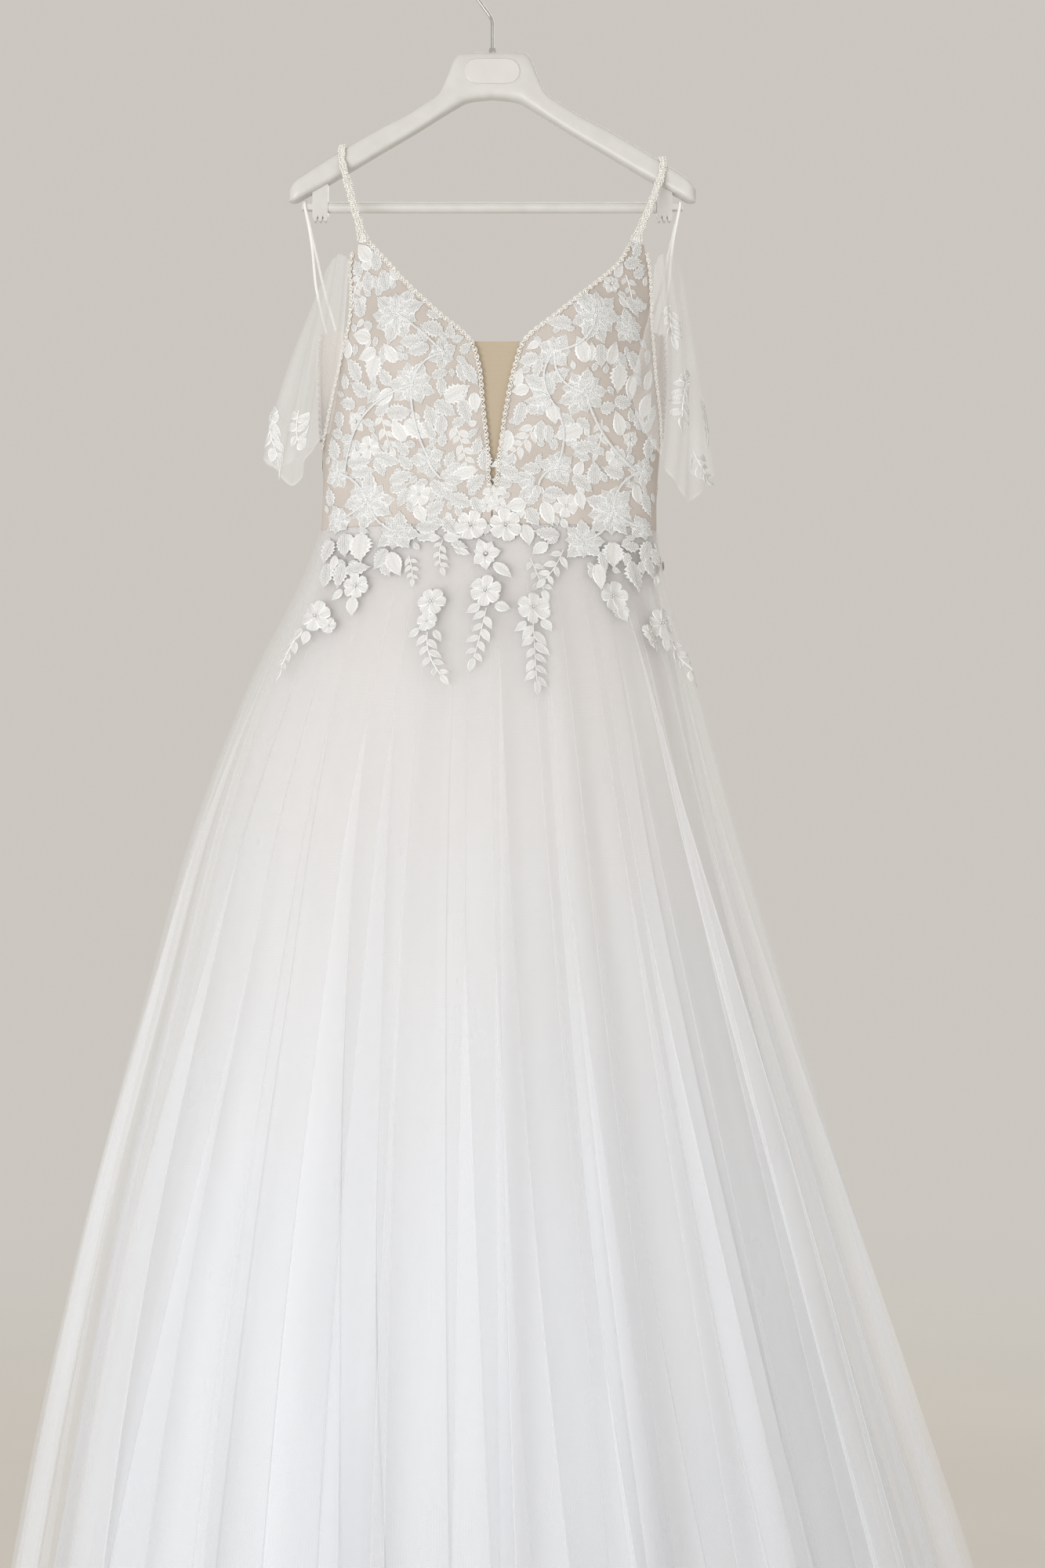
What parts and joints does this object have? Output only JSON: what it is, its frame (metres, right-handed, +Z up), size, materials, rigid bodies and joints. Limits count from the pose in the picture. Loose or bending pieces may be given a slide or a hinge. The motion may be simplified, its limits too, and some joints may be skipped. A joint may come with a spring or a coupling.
{
  "type": "wedding dress on hanger",
  "caption": "Lace wedding gown with a plunging neck, thin beaded straps, loose off-shoulder tulle sleeves and a full layered tulle skirt, hung on a plastic clothes hanger.",
  "frame": {"origin": "inside top of the hanger's hook, where the hanger rests on its rail", "axes": "+Z up; -Y out of the front of the dress; +X to the right as seen from the front"},
  "size_m": [1.0673, 0.4604, 2.004],
  "materials": {
    "hanger_plastic": "satin white",
    "badge_plastic": "smooth white, bare",
    "chrome": "polished",
    "lace": "corded ivory lace on blush lining",
    "pearl_beads": "beaded edging, pearl",
    "tulle": "sheer white tulle",
    "lining": "soft blush satin",
    "nude_mesh": "sheer nude mesh",
    "satin": "ivory satin"
  },
  "bodies": {
    "root": {"armhole_trim_back_left": "pearl_beads", "armhole_trim_back_right": "pearl_beads", "armhole_trim_front_left": "pearl_beads", "armhole_trim_front_right": "pearl_beads", "bar_bracket_left": "hanger_plastic", "bar_bracket_right": "hanger_plastic", "bodice_back_left": "lace", "bodice_back_right": "lace", "bodice_front_left": "lace", "bodice_front_right": "lace", "button_1": "satin", "button_2": "satin", "button_3": "satin", "button_4": "satin", "button_5": "satin", "button_6": "satin", "button_7": "satin", "button_8": "satin", "button_9": "satin", "hang_ribbon_left": "satin", "hang_ribbon_right": "satin", "hanger_badge": "badge_plastic", "hanger_body": "hanger_plastic", "hanger_hook": "chrome", "hook_collar": "chrome", "modesty_panel": "nude_mesh", "neck_trim_left": "pearl_beads", "neck_trim_right": "pearl_beads", "skirt_lining_back_left": "lining", "skirt_lining_back_right": "lining", "skirt_lining_front": "lining", "skirt_middle_back": "tulle", "skirt_middle_front": "tulle", "skirt_outer_back": "tulle", "skirt_outer_front": "tulle", "skirt_spray_1": "lace", "skirt_spray_2": "lace", "skirt_spray_3": "lace", "skirt_spray_4": "lace", "skirt_spray_5": "lace", "skirt_spray_6": "lace", "skirt_spray_7": "lace", "sleeve_left": "tulle", "sleeve_right": "tulle", "strap_left": "pearl_beads", "strap_right": "pearl_beads", "trouser_bar": "hanger_plastic"}
  },
  "joints": []
}
